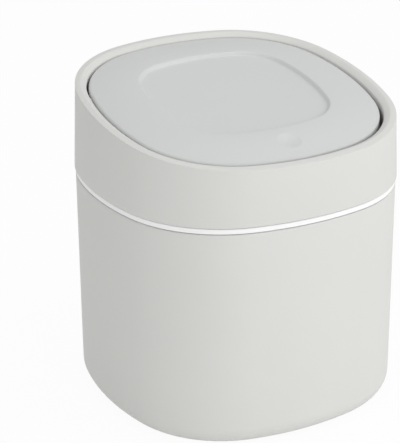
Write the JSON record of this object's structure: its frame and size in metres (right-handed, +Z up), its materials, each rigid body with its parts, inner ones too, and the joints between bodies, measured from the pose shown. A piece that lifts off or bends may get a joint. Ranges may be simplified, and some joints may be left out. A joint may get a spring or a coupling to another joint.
{
  "type": "push top countertop bin",
  "caption": "Small rounded square countertop bin with a slanted collar, a sunk crowned lid that springs open when its front is pushed, and a white ring that holds the bag.",
  "frame": {"origin": "middle of the footprint, on the surface the bin stands on", "axes": "+Z up, -Y towards the front with the push mark, +Y towards the hinge, +X to the right seen from the front"},
  "size_m": [0.15, 0.15, 0.1636],
  "materials": {
    "shell_plastic": "fine moulded matte",
    "lid_plastic": "fine moulded matte",
    "frame_plastic": "moulded matte",
    "ring_plastic": "semi gloss white",
    "latch_plastic": "natural acetal",
    "rubber": "soft",
    "screw_steel": "zinc plated",
    "plate_steel": "nickel plated",
    "pin_steel": "ground",
    "spring_steel": "drawn wire",
    "magnet": "sintered"
  },
  "bodies": {
    "bucket": {"outer_bucket": "shell_plastic", "foot_pads": "rubber"},
    "bag_ring": {"bag_ring": "ring_plastic"},
    "collar": {"collar": "shell_plastic", "throat_ring": "frame_plastic", "throat_screws": "screw_steel", "lid_bumpers": "rubber", "hinge_pin_left": "pin_steel", "hinge_pin_right": "pin_steel", "hinge_spring_left": "spring_steel", "hinge_spring_right": "spring_steel", "latch_housing": "latch_plastic", "latch_cover": "latch_plastic", "latch_screws": "screw_steel", "latch_spring": "spring_steel"},
    "lid": {"lid_cover": "lid_plastic", "lid_panel": "lid_plastic", "lid_screws": "screw_steel", "strike_plate": "plate_steel", "strike_screws": "screw_steel"},
    "latch_plunger": {"latch_plunger": "latch_plastic", "latch_magnet": "magnet", "pole_plates": "plate_steel"},
    "latch_follower": {"latch_follower": "spring_steel"}
  },
  "joints": [
    {"name": "ring_lift", "type": "slide", "parent": "bucket", "child": "bag_ring", "axis": [0, 0, 1], "range_m": [0, 0.03]},
    {"name": "collar_lift", "type": "slide", "parent": "bag_ring", "child": "collar", "axis": [0, 0, 1], "range_m": [0, 0.045]},
    {"name": "lid_hinge", "type": "hinge", "parent": "collar", "child": "lid", "pos_m": [0, 0.0263, 0.15099], "axis": [-1, 0, 0], "range_deg": [0, 75]},
    {"name": "latch_press", "type": "slide", "parent": "collar", "child": "latch_plunger", "axis": [0, -0.1368, 0.9906], "range_m": [-0.0015, 0], "stiffness_N_per_m": 300, "springref_m": 0.003, "deforming": ["latch_spring"]},
    {"name": "follower_swing", "type": "hinge", "parent": "collar", "child": "latch_follower", "pos_m": [0, -0.04335, 0.11715], "axis": [0, 0.9906, 0.1368], "range_deg": [-3.3, 0]}
  ],
  "couplings": [
    {"joint": "follower_swing", "follows": "latch_press", "rad_per_m": 37}
  ]
}
